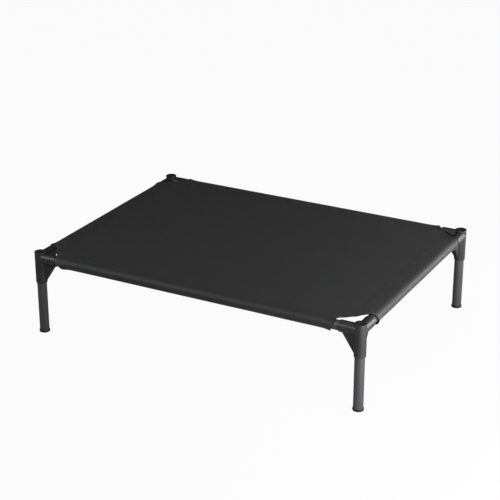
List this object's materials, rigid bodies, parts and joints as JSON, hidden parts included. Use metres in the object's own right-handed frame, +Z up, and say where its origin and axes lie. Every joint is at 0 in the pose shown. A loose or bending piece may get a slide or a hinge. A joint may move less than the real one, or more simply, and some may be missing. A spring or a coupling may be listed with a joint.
{
  "type": "raised dog bed",
  "caption": "Raised pet bed: a taut cloth panel sleeved over tube rails, joined by moulded corner connectors on round tube legs that pull out of their sockets.",
  "frame": {"origin": "on the floor, below the centre of the bed", "axes": "+X along the bed's length to its right end, -Y its front, +Z up"},
  "size_m": [0.9304, 0.6824, 0.226],
  "materials": {
    "moulded_plastic": "black injection-moulded plastic with a fine matte texture",
    "foot_plastic": "black, smoother and a little glossier than the corners",
    "coated_tube": "satin black powder coat on steel tube, the same on legs and rails",
    "woven_cloth": "black coated woven polyester, matte, finely woven"
  },
  "bodies": {
    "deck": {"corner_front_left": "moulded_plastic", "corner_front_right": "moulded_plastic", "corner_back_left": "moulded_plastic", "corner_back_right": "moulded_plastic", "post_cap_front_left": "moulded_plastic", "post_cap_front_right": "moulded_plastic", "post_cap_back_left": "moulded_plastic", "post_cap_back_right": "moulded_plastic", "rail_front": "coated_tube", "rail_back": "coated_tube", "rail_left": "coated_tube", "rail_right": "coated_tube", "cloth_panel": "woven_cloth"},
    "leg_front_left": {"leg_tube_front_left": "coated_tube", "foot_cap_front_left": "foot_plastic"},
    "leg_front_right": {"leg_tube_front_right": "coated_tube", "foot_cap_front_right": "foot_plastic"},
    "leg_back_left": {"leg_tube_back_left": "coated_tube", "foot_cap_back_left": "foot_plastic"},
    "leg_back_right": {"leg_tube_back_right": "coated_tube", "foot_cap_back_right": "foot_plastic"}
  },
  "joints": [
    {"name": "leg_front_left_slide", "type": "slide", "parent": "deck", "child": "leg_front_left", "axis": [0, 0, -1], "range_m": [0, 0.06]},
    {"name": "leg_front_right_slide", "type": "slide", "parent": "deck", "child": "leg_front_right", "axis": [0, 0, -1], "range_m": [0, 0.06]},
    {"name": "leg_back_left_slide", "type": "slide", "parent": "deck", "child": "leg_back_left", "axis": [0, 0, -1], "range_m": [0, 0.06]},
    {"name": "leg_back_right_slide", "type": "slide", "parent": "deck", "child": "leg_back_right", "axis": [0, 0, -1], "range_m": [0, 0.06]}
  ]
}
